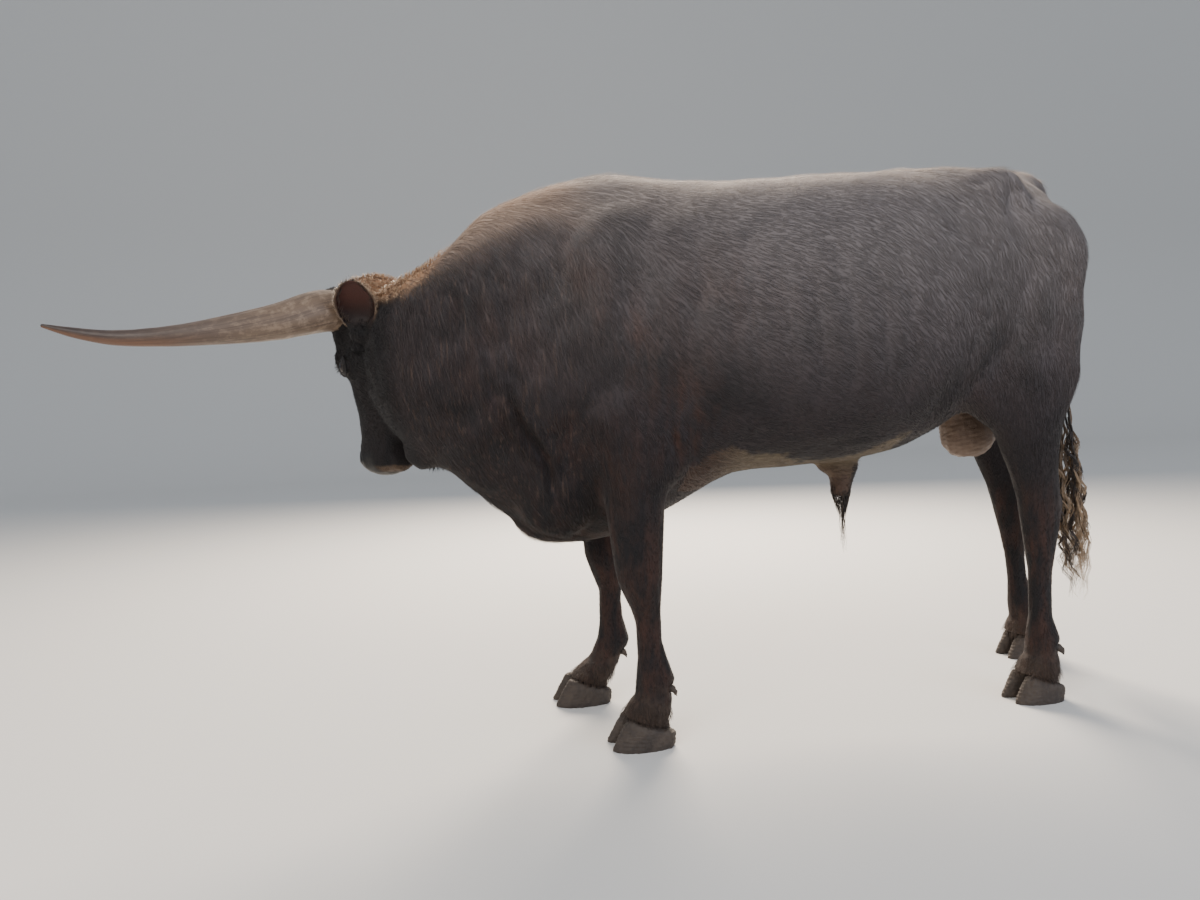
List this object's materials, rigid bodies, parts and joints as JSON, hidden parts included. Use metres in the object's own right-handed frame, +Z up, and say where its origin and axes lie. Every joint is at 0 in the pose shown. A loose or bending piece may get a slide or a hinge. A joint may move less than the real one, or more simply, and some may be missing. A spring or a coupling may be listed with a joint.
{
  "type": "texas longhorn bull",
  "caption": "Life-size still model of a dark brown longhorn bull standing with its head turned, with long tapering horns, cloven hooves and a haired tail switch.",
  "frame": {"origin": "floor level, at the middle of the bounds in X and Y", "axes": "the bull's body faces -X, its left side is towards -Y, and +Z is up"},
  "size_m": [2.72, 1.0914, 1.4834],
  "materials": {
    "short coat": "short dark brown hair",
    "horn": "smooth tan keratin, darker towards the tip",
    "hoof": "dull grey-brown keratin",
    "bare skin": "thinly haired tan skin",
    "eye": "wet and dark",
    "switch hair": "long wavy dark brown hair"
  },
  "bodies": {
    "root": {"torso": "short coat", "rump": "short coat", "neck": "short coat", "head": "short coat", "tail": "short coat", "tail_switch": "switch hair", "sheath": "bare skin", "scrotum": "bare skin", "ear_left": "short coat", "eye_left": "eye", "horn_left": "horn", "foreleg_left": "short coat", "fore_left_claw_outer": "hoof", "fore_left_dewclaw_outer": "hoof", "fore_left_claw_inner": "hoof", "fore_left_dewclaw_inner": "hoof", "hindleg_left": "short coat", "hind_left_claw_outer": "hoof", "hind_left_dewclaw_outer": "hoof", "hind_left_claw_inner": "hoof", "hind_left_dewclaw_inner": "hoof", "ear_right": "short coat", "eye_right": "eye", "horn_right": "horn", "foreleg_right": "short coat", "fore_right_claw_outer": "hoof", "fore_right_dewclaw_outer": "hoof", "fore_right_claw_inner": "hoof", "fore_right_dewclaw_inner": "hoof", "hindleg_right": "short coat", "hind_right_claw_outer": "hoof", "hind_right_dewclaw_outer": "hoof", "hind_right_claw_inner": "hoof", "hind_right_dewclaw_inner": "hoof"}
  },
  "joints": []
}
